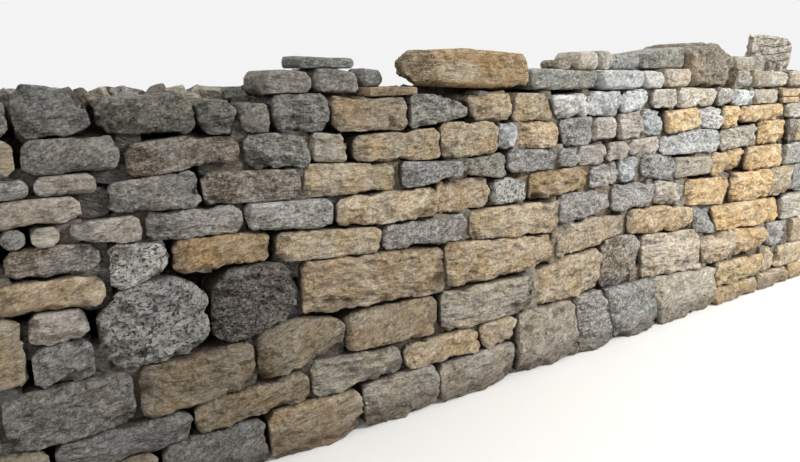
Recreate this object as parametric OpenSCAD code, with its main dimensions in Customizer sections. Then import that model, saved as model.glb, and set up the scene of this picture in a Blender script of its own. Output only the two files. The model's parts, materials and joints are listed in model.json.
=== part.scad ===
// Dry stone wall: a battered stretch of field-stone walling laid without mortar.
// Two faces of coursed stone are laid on either side of a packed hearting. Built heads close
// the ends, tie stones run through the thickness, and boulders are set loose along the top.
//
// Every stone is a convex solid of its own. The schedule below gives, course by course, where
// the upright joints stand and how high each stone finishes. The underside of a stone is
// never given: it is found by letting the stone down on the stones below until it rests on two
// high points, one each side of its middle, so a changed size seats the whole wall again.

/* [Wall] */
// Length of the stretch from head to head
wall_length = 5000; // [4500:50:6500]
// Thickness at the foot
foot_thickness = 620; // [580:10:900]
// Lean of the front face, as a share of the height
front_batter = 0.08; // [0:0.01:0.1]
// Lean of the back face, as a share of the height
back_batter = 0.02; // [0:0.01:0.04]

/* [Courses] */
// Height of course 1, the footing
course_1_h = 190; // [160:5:240]
// Height of course 2
course_2_h = 110; // [90:5:160]
// Height of course 3
course_3_h = 190; // [170:5:240]
// Height of course 4
course_4_h = 170; // [150:5:220]
// Height of course 5
course_5_h = 150; // [130:5:200]
// Height of course 6
course_6_h = 135; // [120:5:180]
// Height of course 7
course_7_h = 100; // [90:5:150]
// Height of course 8
course_8_h = 135; // [120:5:180]
// Height of course 9
course_9_h = 115; // [100:5:160]
// Height of course 10, the cover stones
course_10_h = 95; // [80:5:130]

/* [Stones] */
// Depth of a stone of the front face, from its face to its tail
front_depth = 220; // [160:5:230]
// Depth of a stone of the back face
back_depth = 190; // [140:5:200]
// Usual length of a stone of the back face
back_stone_length = 430; // [300:10:600]
// Open upright joint between neighbours
joint_gap = 5; // [2:0.5:10]
// Clearance under a stone, at the points that it rests on
bed_gap = 0.3; // [0.2:0.1:1]
// Width of the worn edge round a face
arris = 14; // [4:1:20]
// Size of the broken corners of a stone
corner_cut = 22; // [8:1:30]
// Taper of a tail at each end
tail_taper = 24; // [0:1:40]
// Most that a stone is set out of, or back from, the line of the face
set_out = 12; // [0:1:20]

/* [Hearting] */
// Gap between the tails of the stones and the hearting
hearting_gap = 8; // [4:1:15]

/* [Hidden] */

FACE_COURSES = 9;
COVER_COURSE = FACE_COURSES + 1;
// Share of a stone's height that its worn edge and its broken corners may take
ARRIS_SHARE = 0.14;
CORNER_SHARE = 0.28;
// Share of a stone's length that a broken corner or both tapers of its tail may take
WIDTH_SHARE = 0.22;
// Share of a loose stone's height that its rounding may take
ROUND_SHARE = 0.16;
// The ground under the footing, as a bed
GROUND = [0, 0];
// How far round a stone the ones that carry it are looked for, and passes in which a bed settles
REACH = 120;
BED_PASSES = 3;
// Depth of the worn edge for each unit of its width
ARRIS_DEPTH = 1.3;
// Most that chance leans an upright joint whose lean the schedule leaves open
JOINT_LEAN = 0.08;
// Most that chance shortens a tail, as a share of its depth
TAIL_VARIES = 0.08;
// Most that chance moves a joint of the back face, as a share of a stone's length, and a top
BACK_JOINT_SHIFT = 0.22;
BACK_RISE = 4;
// Sections of a boulder at its front and at its back: place, and how far its ends and beds draw
// in, all for each unit of its rounding
BOULDER_FRONT = [[0, 1.6, 1], [0.9, 0.4, 0.2], [2, 0, 0]];
BOULDER_BACK = [[0, 1.8, 1.1], [0.9, 0.6, 0.3], [2, 0, 0]];

// Seed of every chance number, and how far it steps with the course and with the place
SEED = 41;
COURSE_STEP = 7919;
PLACE_STEP = 31;
// What a chance number is for
FOR_LEAN = 0;
FOR_JOINT = 2;
FOR_FRONT = 3;
FOR_RISE = 4;
FOR_BACK = 5;
FOR_NEXT_RISE = 6;
FOR_TAIL = 9;

// Who sees a stone from below: the front face, the back face, or both
FRONT = 0;
BACK = 1;
THROUGH = 2;

course_h = [course_1_h, course_2_h, course_3_h, course_4_h, course_5_h,
            course_6_h, course_7_h, course_8_h, course_9_h, course_10_h];

// Stone colours by letter: buff, orange, cream, pinkish, pale blue-white, grey, dark grey,
// brown-grey, grey-buff, mossy, pitted grey and dark pitted
KINDS = ["b", "o", "c", "p", "w", "g", "d", "u", "n", "m", "t", "v"];
COLOURS = ["burlywood", "goldenrod", "wheat", "rosybrown", "lightsteelblue", "darkgray", "dimgray",
           "gray", "tan", "darkkhaki", "silver", "slategray"];

// The schedule of the front. A course is a list of runs, laid one after the other. A run lists
// its upright joints from left to right: distance from the left end, colour of the stone that
// starts there, rise of its top at the left and at the right over the course's own level, and,
// where it matters, the lean of the joint, the crown of the top and how many times larger than
// usual the corners are broken. The last joint ends the run.
SCHEDULE = [
    [[[0, "g", 0, 0], [230, "b", 0, 0], [640, "g", 0, -5], [1010, "b", 0, 0], [1400, "b", 0, 0],
      [1770, "b", -25, -5], [2225, "n", 110, 110, 0], [2645, "g", 110, 120, -0.17],
      [2907, "g", 105, 105, -0.36], [3293, "n", 100, 60, -0.33], [3865, "c", -85, -85, 0],
      [4380, "b", -85, -85], [4770, "g", -85, -85], [5000]]],
    [[[0, "b", 0, 0], [350, "g", 0, -5], [760, "b", 0, 10], [1190, "b", 35, 5],
      [1600, "b", 0, 0], [2005, "b", 0, 0, -0.3], [2225, "", 0, 0, 0]],
     [[3865, "o", -30, -50, 0], [4430, "g", -10, -45], [4600, "b", -45, -45], [5000]]],
    [[[0, "g", 0, 0], [240, "g", -10, -20], [600, "b", -20, -10], [990, "b", 5, -15, 0, 30],
      [1350, "b", -10, -10], [1790, "n", 0, -25], [2340, "b", -20, 35, 0, 18],
      [2815, "u", 60, 60, 0, 15, 1.7], [3140, "n", 55, 15], [3695, "n", -40, -40, -0.3],
      [4060, "b", -40, -80], [4470, "g", -60, -60], [4760, "b", -60, -60], [5000]]],
    [[[0, "b", 40, 40], [330, "g", -60, -55], [500, "", 0, 0, 0]],
     [[330, "p", 40, 35], [500, "", 0, 0, 0]],
     [[505, "t", 50, 75, 0, 20, 2.8], [845, "v", 65, 65, 0.03, 10, 3.2], [1170, "b", 60, 20],
      [1830, "b", 30, -20], [2490, "p", 0, 5, 0, 25], [3010, "b", 30, -20, 0, 20],
      [3615, "g", -10, -60, -0.3], [3820, "b", -40, -60, -0.5], [4600, "c", -60, -60], [5000]]],
    [[[0, "g", -15, -15], [250, "b", -15, -20], [555, "", 0, 0, 0]],
     [[560, "t", 65, 40, 0, 0, 1.5], [742, "o", 45, 35], [1085, "b", 25, -10], [1530, "g", -10, -10],
      [1960, "b", 0, -10], [2515, "g", 10, 5, 0], [2880, "g", 20, 10, 0, 6], [3230, "c", 20, -40],
      [3530, "b", -10, -30], [3990, "b", -10, -15], [4440, "b", -15, -15], [4750, "g", -15, -15],
      [5000]]],
    [[[0, "b", 0, 0], [300, "u", -60, -60], [555, "", 0, 0, 0]],
     [[300, "g", 0, 0], [375, "c", -5, 0], [458, "", 0, 0, 0]],
     [[463, "c", 0, 5, 0], [675, "g", 10, 0], [990, "g", 0, -15], [1330, "b", -10, -15],
      [1800, "b", 5, -5], [2085, "t", -25, -45, 0, 20, 1.5], [2315, "o", 0, -5], [2720, "g", -15, 5],
      [2940, "p", 5, 15], [3110, "d", 20, -20, 0, 15], [3420, "g", -15, -30],
      [3800, "b", -15, -5], [4145, "b", 0, -5], [4600, "g", -5, -5], [5000]]],
    [[[0, "g", 40, 40], [240, "p", -20, -20], [520, "", 0, 0, 0]],
     [[240, "g", 35, 35], [395, "p", 40, 40], [568, "", 0, 0, 0]],
     [[573, "g", 5, 30, 0], [860, "u", 15, 0], [1215, "b", 15, -10], [1620, "d", -5, -25],
      [1945, "m", -25, -5], [2180, "d", 5, -10], [2500, "g", -10, -15], [2640, "p", -10, -5],
      [2850, "p", -5, 0], [3030, "p", 0, 10], [3290, "w", 5, 15, 0, 25], [3880, "c", 10, 35],
      [4300, "c", 45, 50], [4640, "g", 50, 50], [4760, "b", 50, 50], [5000]]],
    [[[0, "b", 10, 10], [375, "g", 5, 10], [640, "u", -20, -10, 0, 12], [1005, "m", -10, -30, 0, 12],
      [1250, "c", -15, -20], [1420, "b", -35, -20], [1830, "b", 0, -5], [2145, "w", -15, -15],
      [2260, "b", -15, -20], [2525, "d", -15, -5, -0.35], [2745, "p", -15, -10],
      [2920, "p", -5, 10], [3145, "w", 15, 15, -0.3], [3312, "b", 0, 15, -0.3],
      [3665, "w", 15, 15, -0.4], [3880, "b", 15, 10], [4070, "b", 10, 15], [4600, "c", 15, 15],
      [5000]]],
    [[[0, "g", 0, 0], [250, "g", 0, 10], [370, "g", 45, 0, 0, 12, 2],
      [575, "m", -5, 15, 0, 0, 1.5], [870, "m", -5, -15], [1000, "g", -30, -20], [1120, "g", 0, 5],
      [1345, "b", -5, -15], [1680, "m", -5, -45, 0, 20],
      [1970, "b", -10, -5, -0.35], [2215, "b", -5, -10], [2455, "w", -25, -10, -0.4],
      [2700, "p", -5, -5], [2970, "w", -5, 5, 0.35], [3195, "p", 0, 0], [3420, "c", 5, -5, 0, 6],
      [3810, "g", 0, 0], [3960, "c", -5, -15], [4220, "u", -5, -15],
      [4540, "w", -62, -62, 0], [4770, "g", -10, -10, 0], [5000]],
     [[4540, "b", -10, -10, 0], [4770, "", 0, 0, 0]]],
    [[[2342, "m", 5, -5, 0], [2790, "w", 0, 0], [3130, "c", 5, -10], [3300, "p", 10, 10],
      [3550, "", 0, 0, 0]],
     [[4020, "g", 5, 5, 0], [4190, "c", 10, 10], [4400, "c", 10, 10], [4640, "c", 10, 5],
      [4780, "g", 5, 5], [5000]]]
];
// The last joint gives the length for which the schedule is written: it stretches with the wall
SCHEDULE_LENGTH = let (run = SCHEDULE[0][0]) run[len(run) - 1][0];

// Rise of each course over its own level at the left and at the right head
END_RISE = [[0, -85], [0, -45], [0, -60], [40, -60], [-15, -15], [0, -5], [40, 50], [10, 15],
            [0, -10]];
// Distances over which the courses run back to their own level
LEFT_RUN = [560, 1400];
RIGHT_RUN = [4200, 3300];

// Stones of the front that run through to the back: course and first joint
TIES = [[3, 1350], [6, 990], [6, 2085], [6, 3420], [8, 1250], [8, 2145], [8, 2745]];

// Colours along the back face, in turn
BACK_KINDS = ["b", "g", "n", "b", "d", "p", "g", "b", "u", "c", "m"];

// Loose stones of the top: name of the group, left and right end, colour, rise of the top at
// both ends over the cover stones, crown, set-back from the face, depth, broken corner and rounding
LOOSE = [
    ["pinning", 1090, 1290, "p", -15, -20, 8, 20, 190, 20, 20],
    ["pinning", 1295, 1490, "u", -5, -25, 10, 30, 270, 24, 24],
    ["pinning", 1240, 1470, "g", 40, 35, 0, 45, 170, 10, 8],
    ["pinning", 1495, 1720, "o", -68, -68, 0, -5, 200, 6, 6],
    ["pinning", 1500, 1606, "g", 5, -5, 0, 60, 140, 18, 16],
    ["buff_boulder", 1612, 2335, "b", 60, 62, 18, -5, 370, 52, 34],
    ["pinning", 2550, 2655, "o", 45, 42, 0, 60, 130, 12, 10],
    ["pinning", 2660, 2825, "b", 80, 82, 6, 40, 170, 20, 16],
    ["pinning", 2829, 2935, "p", 90, 84, 6, 45, 160, 20, 16],
    ["pinning", 2939, 3180, "g", 80, 82, 0, 70, 200, 18, 16],
    ["pinning", 3184, 3545, "m", 85, 130, 0, 50, 260, 24, 20],
    ["grey_boulder", 3558, 4014, "g", 145, 75, 50, 10, 400, 80, 40],
    ["pinning", 4022, 4240, "c", 88, 86, 0, 30, 190, 20, 16],
    ["layered_boulder", 4150, 4730, "u", 220, 212, 8, 50, 390, 44, 26]
];

// Level of the top of a course, the planes of the two faces at a height, and the hearting's own
function level(k) = k == 0 ? 0 : level(k - 1) + course_h[k - 1];
function front_y(z) = -foot_thickness / 2 + front_batter * z;
function back_y(z) = foot_thickness / 2 - back_batter * z;
function hearting_front(k) = front_y(level(k)) + front_depth + hearting_gap;
function hearting_back(k) = back_y(level(k)) - back_depth - hearting_gap;
function at(s) = s * wall_length / SCHEDULE_LENGTH - wall_length / 2;

// A number between -1 and 1 that depends only on the place in the wall
function chance(k, s, use) = rands(-1, 1, 1, SEED + COURSE_STEP * k + PLACE_STEP * s + use)[0];

function share(s, from, to) = max(0, min(1, (s - to) / (from - to)));
function bed_rise(k, s) =
    END_RISE[k - 1][0] * share(s, LEFT_RUN[0], LEFT_RUN[1])
    + END_RISE[k - 1][1] * share(s, RIGHT_RUN[0], RIGHT_RUN[1]);

// An end of a stone is the line x = e[0] + e[1] * z, and a bed the line z = b[0] + b[1] * x
function corner(e, b) = let (x = (e[0] + e[1] * b[0]) / (1 - e[1] * b[1])) [x, b[0] + b[1] * x];
function bed_through(p, q) = let (n = (q.y - p.y) / (q.x - p.x)) [p.y - n * p.x, n];
function moved(line, d) = [line[0] + d, line[1]];
function height_at(p, q, x) = p.y + (q.y - p.y) * (x - p.x) / (q.x - p.x);

// A stone: who sees it, its left and right end, bed, the two halves of its top, where they
// meet, its broken corner, its sections through the thickness, its colour, its group, and its
// top from side to side
function seen_by(w) = w[0];
function left_of(w) = w[1];
function right_of(w) = w[2];
function bed_of(w) = w[3];
function top_left_of(w) = w[4];
function top_right_of(w) = w[5];
function crown_x(w) = w[6];
function crowned(w) = w[4][1] != w[5][1];
function cut_of(w) = w[7];
function sections_of(w) = w[8];
function kind_of(w) = w[9];
function group_of(w) = w[10];
function top_of(w) = w[11];
function front_of(w) = sections_of(w)[0][0];
function back_of(w) = sections_of(w)[len(sections_of(w)) - 1][0];

// The top of a stone from side to side: broken corner, slope, crown, slope, broken corner
function top_line(l, r, top_left, top_right, x, c) =
    let (tl = corner(l, top_left), tr = corner(r, top_right))
    [[tl.x - l[1] * c, tl.y - c],
     [tl.x + c, tl.y + top_left[1] * c],
     [x, top_left[0] + top_left[1] * x],
     [tr.x - c, tr.y - top_right[1] * c],
     [tr.x - r[1] * c, tr.y - c]];

// Points that hold up a bed from a to b, between ends that lean by la and lb, with corners
// broken by c. Under a broken corner, a point holds the bed line up by that much less.
function clipped(p, q, a, b) =
    let (u = max(p.x, a), v = min(q.x, b))
    u >= v ? [] : [[u, height_at(p, q, u)], [v, height_at(p, q, v)]];
function holding_points(w, a, b, la, lb, c) =
    let (top = top_of(w))
    [for (i = [0 : 3]) each concat(
        [for (p = clipped(top[i], top[i + 1], a + la * c, a + c))
            let (t = (a + c - p.x) / (1 - la)) [a + c - t, p.y - t]],
        clipped(top[i], top[i + 1], a + c, b - c),
        [for (p = clipped(top[i], top[i + 1], b - c, b + lb * c))
            let (t = (p.x - b + c) / (1 + lb)) [b - c + t, p.y - t]])];

// The bed of a stone let down between two uprights: the line through the two points, one each
// side of its middle, that carries the middle highest
function resting_bed(points, middle) =
    let (
        pairs = [for (p = points) if (p.x <= middle) for (q = points) if (q.x > middle)
                 [height_at(p, q, middle), p, q]],
        best = max([for (pair = pairs) pair[0]]),
        pair = [for (pair = pairs) if (pair[0] == best) pair][0]
    )
    moved(bed_through(pair[1], pair[2]), bed_gap);

// The lower of a stone's two ends
function end_height(bed, tl, tr) = min(tl.y - bed[0] - bed[1] * tl.x, tr.y - bed[0] - bed[1] * tr.x);

// Stones that a new stone from a to b can rest on, near the height where its bed comes
function under(laid, span, a, b, z) =
    [for (w = laid)
        if ((span == THROUGH || seen_by(w) == THROUGH || seen_by(w) == span)
            && top_of(w)[0].x < b + REACH && top_of(w)[4].x > a - REACH && top_of(w)[2].y > z - REACH) w];

// The bed of a stone on those under it and, where it crosses the wall, on the hearting. Where
// its ends meet the bed depends on the bed, so it settles in a few passes.
function bed_on(laid, l, r, c, hearting_z, bed, passes = 1) =
    let (
        a = corner(l, bed).x,
        b = corner(r, bed).x,
        stones = [for (w = laid) each holding_points(w, a, b, l[1], r[1], c)],
        core = is_num(hearting_z) ? [[a + c, hearting_z], [b - c, hearting_z]] : [],
        found = resting_bed(concat(stones, core), (a + b) / 2)
    )
    passes == 1 ? found : bed_on(laid, l, r, c, hearting_z, found, passes - 1);

// Sections through the thickness, from front to back: place, and how far ends and beds draw in
function face_sections(y, tail_y, edge, taper) =
    y < tail_y
        ? [[y, edge, edge], [y + ARRIS_DEPTH * edge, 0, 0], [tail_y, taper, 0]]
        : [[tail_y, taper, 0], [y - ARRIS_DEPTH * edge, 0, 0], [y, edge, edge]];
function through_sections(y, back, edge) =
    [[y, edge, edge], [y + ARRIS_DEPTH * edge, 0, 0],
     [back - ARRIS_DEPTH * edge, 0, 0], [back, edge, edge]];
function boulder_sections(y, back, round) =
    concat([for (ring = BOULDER_FRONT) [y, 0, 0] + round * ring],
           [for (i = [len(BOULDER_BACK) - 1 : -1 : 0])
               let (ring = BOULDER_BACK[i])
               [back - round * ring[0], round * ring[1], round * ring[2]]]);

// The two faces draw different chance numbers
function own_use(span) = span == BACK ? 1 : 0;

// Lean of a joint: given in the schedule, or by chance, and none beside a head or a tie,
// which both faces share
function shared_joint(k, s) =
    s <= first_joint(k) || s >= last_joint(k)
    || len([for (span = tie_spans(k)) if (s == span[0] || s == span[1]) s]) > 0;
function lean_of(k, joint, span) =
    len(joint) > 4 ? joint[4]
    : shared_joint(k, joint[0]) ? 0
    : JOINT_LEAN * chance(k, joint[0], FOR_LEAN + own_use(span));
function end_line(k, joint, side, span) =
    let (
        lean = lean_of(k, joint, span),
        z = level(k) - course_h[k - 1] / 2,
        gap = joint[0] == 0 || joint[0] == SCHEDULE_LENGTH ? 0 : joint_gap / 2
    )
    [at(joint[0]) + side * gap - lean * z, lean];

function stone_record(span, l, r, bed, tl, tr, peak, cut, sections, kind, group) =
    let (top_left = bed_through(tl, peak), top_right = bed_through(peak, tr))
    [span, l, r, bed, top_left, top_right, peak.x, cut, sections, kind, group,
     top_line(l, r, top_left, top_right, peak.x, cut)];

// How far a face stone is set out of the line: the footing is laid to the line itself
function setting(k, s, use) = k == 1 ? 0 : set_out * chance(k, s, use);

// One stone of a course, from its joint, the next joint and the stones already laid
function laid_stone(k, joint, next, span, depth, laid, group, core) =
    let (
        l = end_line(k, joint, 1, span),
        r = end_line(k, next, -1, span),
        low = level(k - 1),
        high = level(k),
        a = l[0] + l[1] * low,
        b = r[0] + r[1] * low,
        zl = high + joint[2],
        zr = high + joint[3],
        tl = [l[0] + l[1] * zl, zl],
        tr = [r[0] + r[1] * zr, zr],
        middle = (a + b) / 2,
        hearting_z = core ? low : undef,
        carriers = under(laid, span, a, b, low),
        first_bed = k == 1 ? GROUND : bed_on(carriers, l, r, corner_cut, hearting_z, [low, 0]),
        short = end_height(first_bed, tl, tr),
        wanted = len(joint) > 6 ? joint[6] * corner_cut : corner_cut,
        cut = min(wanted, CORNER_SHARE * short, WIDTH_SHARE * (b - a)),
        bed = k == 1 ? GROUND : bed_on(carriers, l, r, cut, hearting_z, first_bed, BED_PASSES),
        edge = min(arris, ARRIS_SHARE * end_height(bed, tl, tr)),
        crown = len(joint) > 5 ? joint[5] : 0,
        peak = [(tl.x + tr.x) / 2, (zl + zr) / 2 + crown],
        mid_z = (bed[0] + bed[1] * middle + (zl + zr) / 2) / 2,
        face_z = k == 1 ? 0 : mid_z,
        own = own_use(span),
        front = front_y(face_z) + setting(k, joint[0], FOR_FRONT + own),
        back = back_y(face_z) - abs(setting(k, joint[0], FOR_BACK + own)),
        tail = depth * (1 - TAIL_VARIES * abs(chance(k, joint[0], FOR_TAIL + own))),
        taper = min(tail_taper, WIDTH_SHARE * (b - a) / 2),
        front_tail = front_y(bed[0] + bed[1] * middle) + tail,
        back_tail = back_y(bed[0] + bed[1] * middle) - tail,
        sections = span == THROUGH ? through_sections(front, back, edge)
            : span == FRONT ? face_sections(front, front_tail, edge, taper)
            : face_sections(back, back_tail, edge, taper)
    )
    stone_record(span, l, r, bed, tl, tr, peak, cut, sections, joint[1], group);

// Parts of a course: built heads at both ends, ties, and the plain face stones between
function is_tie(k, s) = len([for (t = TIES) if (t[0] == k && t[1] == s) t]) > 0;
function is_head(joint, next) = joint[0] == 0 || next[0] == SCHEDULE_LENGTH;
function head_name(joint) = joint[0] == 0 ? "left_head" : "right_head";
function headers_in(k) = k % 2 == 1 || k == COVER_COURSE;
function half_depth(k) = (back_y(level(k)) - front_y(level(k - 1))) / 2 - joint_gap;

function front_stone(k, joint, next, laid) =
    is_head(joint, next)
        ? laid_stone(k, joint, next, headers_in(k) ? THROUGH : FRONT, half_depth(k), laid,
                     head_name(joint), false)
    : k == COVER_COURSE
        ? laid_stone(k, joint, next, THROUGH, front_depth, laid, "cover", true)
    : is_tie(k, joint[0])
        ? laid_stone(k, joint, next, THROUGH, front_depth, laid, "tie", true)
    : laid_stone(k, joint, next, FRONT, front_depth, laid, str("front", k), false);

function front_run(k, run, laid) =
    [for (i = [0 : len(run) - 2]) if (run[i][1] != "") front_stone(k, run[i], run[i + 1], laid)];
function front_runs(k, laid, i = 0, done = []) =
    i == len(SCHEDULE[k - 1]) ? done
    : front_runs(k, laid, i + 1, concat(done, front_run(k, SCHEDULE[k - 1][i], concat(laid, done))));

// Joints of the back face: the stretches between heads and ties are shared out evenly, give
// or take, and each top follows the rise of the course
function first_joint(k) = SCHEDULE[k - 1][0][1][0];
function last_run(k) = len(SCHEDULE[k - 1][0][len(SCHEDULE[k - 1][0]) - 1]) == 1
    ? SCHEDULE[k - 1][0] : SCHEDULE[k - 1][len(SCHEDULE[k - 1]) - 1];
function last_joint(k) = let (run = last_run(k)) run[len(run) - 2][0];
function tie_spans(k) =
    [for (run = SCHEDULE[k - 1]) for (i = [0 : len(run) - 2]) if (is_tie(k, run[i][0]))
        [run[i][0], run[i + 1][0]]];
function stretches(k) =
    let (ties = tie_spans(k), n = len(ties))
    [for (i = [0 : n]) [i == 0 ? first_joint(k) : ties[i - 1][1], i == n ? last_joint(k) : ties[i][0]]];
function shared(k, from, to) =
    let (
        n = max(1, round((to - from) * wall_length / SCHEDULE_LENGTH / back_stone_length)),
        step = (to - from) / n
    )
    [for (i = [0 : n - 1])
        from + step * (i + (i == 0 ? 0 : BACK_JOINT_SHIFT * chance(k, from + i, FOR_JOINT)))];
function back_joint(k, s, next, i) =
    [s, BACK_KINDS[(i * 3 + k * 5) % len(BACK_KINDS)],
     bed_rise(k, s) + BACK_RISE * chance(k, s, FOR_RISE),
     bed_rise(k, next) + BACK_RISE * chance(k, next, FOR_NEXT_RISE)];
function back_stretch(k, stretch, laid) =
    let (joints = concat(shared(k, stretch[0], stretch[1]), [stretch[1]]))
    [for (i = [0 : len(joints) - 2])
        laid_stone(k, back_joint(k, joints[i], joints[i + 1], i), [joints[i + 1], "", 0, 0],
                   BACK, back_depth, laid, str("back", k), false)];
function back_heads(k, laid) =
    headers_in(k) ? [] : [
        laid_stone(k, [0, "g", END_RISE[k - 1][0], END_RISE[k - 1][0]], [first_joint(k), "", 0, 0],
                   BACK, half_depth(k), laid, "left_head", false),
        laid_stone(k, [last_joint(k), "n", END_RISE[k - 1][1], END_RISE[k - 1][1]],
                   [SCHEDULE_LENGTH, "", 0, 0], BACK, half_depth(k), laid, "right_head", false)];
function back_runs(k, laid) =
    k > FACE_COURSES ? []
    : concat(back_heads(k, laid), [for (stretch = stretches(k)) each back_stretch(k, stretch, laid)]);

// The wall, course on course
function wall_to(k, laid = []) =
    k == 0 ? laid
    : let (below = wall_to(k - 1)) concat(below, front_runs(k, below), back_runs(k, below));
WALL = wall_to(COVER_COURSE);

// Loose stones, each let down on the wall and on those before it
function loose_stone(i, laid) =
    let (
        t = LOOSE[i],
        l = [at(t[1]), 0],
        r = [at(t[2]), 0],
        top = level(COVER_COURSE),
        tl = [l[0], top + t[4]],
        tr = [r[0], top + t[5]],
        middle = (l[0] + r[0]) / 2,
        width = r[0] - l[0],
        front = front_y(top) + t[7],
        back = front + t[8],
        found = under(laid, THROUGH, l[0], r[0], level(FACE_COURSES)),
        carriers = [for (w = found) if (front_of(w) < back && back_of(w) > front) w],
        hearting_z = back > hearting_front(FACE_COURSES) ? level(FACE_COURSES) : undef,
        first_bed = bed_on(carriers, l, r, t[9] / 2, hearting_z, GROUND),
        cut = min(t[9], CORNER_SHARE * end_height(first_bed, tl, tr), WIDTH_SHARE * width),
        bed = bed_on(carriers, l, r, cut, hearting_z, first_bed),
        round = min(t[10], ROUND_SHARE * end_height(bed, tl, tr), WIDTH_SHARE * width / 2),
        peak = [middle, (tl.y + tr.y) / 2 + t[6]]
    )
    stone_record(THROUGH, l, r, bed, tl, tr, peak, cut, boulder_sections(front, back, round), t[3], t[0]);
function with_loose(laid, i = 0) =
    i == len(LOOSE) ? laid : with_loose(concat(laid, [loose_stone(i, laid)]), i + 1);
STONES = with_loose(WALL);

// Outline of a stone in one section: ends drawn in by e, top and bed by v
function outline(w, e, v) =
    let (
        l = moved(left_of(w), e),
        r = moved(right_of(w), -e),
        b = moved(bed_of(w), v),
        t1 = moved(top_left_of(w), -v),
        t2 = moved(top_right_of(w), -v),
        c = cut_of(w),
        bl = corner(l, b),
        br = corner(r, b),
        tr = corner(r, t2),
        tl = corner(l, t1),
        x = crown_x(w)
    )
    concat(
        [[bl.x + c, bl.y + b[1] * c], [br.x - c, br.y - b[1] * c], [br.x + r[1] * c, br.y + c],
         [tr.x - r[1] * c, tr.y - c], [tr.x - c, tr.y - t2[1] * c]],
        crowned(w) ? [[x, t1[0] + t1[1] * x]] : [],
        [[tl.x + c, tl.y + t1[1] * c], [tl.x - l[1] * c, tl.y - c], [bl.x + l[1] * c, bl.y + c]]);

// A stone as a convex solid through its sections
module stone(w) {
    rings = sections_of(w);
    outlines = [for (ring = rings) outline(w, ring[1], ring[2])];
    n = len(outlines[0]);
    last = len(rings) - 1;
    points = [for (i = [0 : last]) for (p = outlines[i]) [p.x, rings[i][0], p.y]];
    sides = [for (i = [0 : last - 1]) for (j = [0 : n - 1])
        let (next = (j + 1) % n)
        [i * n + j, i * n + next, (i + 1) * n + next, (i + 1) * n + j]];
    front = [for (j = [n - 1 : -1 : 0]) j];
    back = [for (j = [0 : n - 1]) last * n + j];
    colour = COLOURS[search([kind_of(w)], KINDS)[0]];
    color(colour) polyhedron(points = points, faces = concat([front], sides, [back]), convexity = 2);
}

module group(name) {
    for (w = STONES) if (group_of(w) == name) stone(w);
}

// Where a lift of hearting ends: clear of the head stones of its own course and of those that
// they bed on or carry
function beside(k) = [for (j = [max(1, k - 1) : min(FACE_COURSES, k + 1)]) j];
function hearting_left(k) = at(max([for (j = beside(k)) first_joint(j)])) + joint_gap;
function hearting_right(k) = at(min([for (j = beside(k)) last_joint(j)])) - joint_gap;

// Packed small stone between the two faces, one lift to a course, left out where a tie runs
module hearting(first, last) {
    color("dimgray")
    for (k = [first : last]) {
        ties = tie_spans(k);
        n = len(ties);
        y0 = hearting_front(k);
        y1 = hearting_back(k);
        for (i = [0 : n]) {
            x0 = i == 0 ? hearting_left(k) : at(ties[i - 1][1]) + joint_gap;
            x1 = i == n ? hearting_right(k) : at(ties[i][0]) - joint_gap;
            translate([x0, y0, level(k - 1)])
            cube([x1 - x0, y1 - y0, course_h[k - 1] - bed_gap]);
        }
    }
}

module front_course_1() { group("front1"); }
module front_course_2() { group("front2"); }
module front_course_3() { group("front3"); }
module front_course_4() { group("front4"); }
module front_course_5() { group("front5"); }
module front_course_6() { group("front6"); }
module front_course_7() { group("front7"); }
module front_course_8() { group("front8"); }
module front_course_9() { group("front9"); }
module back_course_1() { group("back1"); }
module back_course_2() { group("back2"); }
module back_course_3() { group("back3"); }
module back_course_4() { group("back4"); }
module back_course_5() { group("back5"); }
module back_course_6() { group("back6"); }
module back_course_7() { group("back7"); }
module back_course_8() { group("back8"); }
module back_course_9() { group("back9"); }
module left_wall_head() { group("left_head"); }
module right_wall_head() { group("right_head"); }
module tie_stones() { group("tie"); }
module hearting_lower() { hearting(1, 3); }
module hearting_middle() { hearting(4, 6); }
module hearting_upper() { hearting(7, 9); }
module cover_stones() { group("cover"); }
module top_pinnings() { group("pinning"); }
module buff_cope_boulder() { group("buff_boulder"); }
module grey_cope_boulder() { group("grey_boulder"); }
module layered_cope_boulder() { group("layered_boulder"); }

front_course_1();
front_course_2();
front_course_3();
front_course_4();
front_course_5();
front_course_6();
front_course_7();
front_course_8();
front_course_9();
back_course_1();
back_course_2();
back_course_3();
back_course_4();
back_course_5();
back_course_6();
back_course_7();
back_course_8();
back_course_9();
left_wall_head();
right_wall_head();
tie_stones();
hearting_lower();
hearting_middle();
hearting_upper();
cover_stones();
top_pinnings();
buff_cope_boulder();
grey_cope_boulder();
layered_cope_boulder();
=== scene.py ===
import json
import math
import random

import bpy
import numpy as np
from mathutils import Euler, Matrix, Vector
from mathutils.bvhtree import BVHTree

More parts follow.
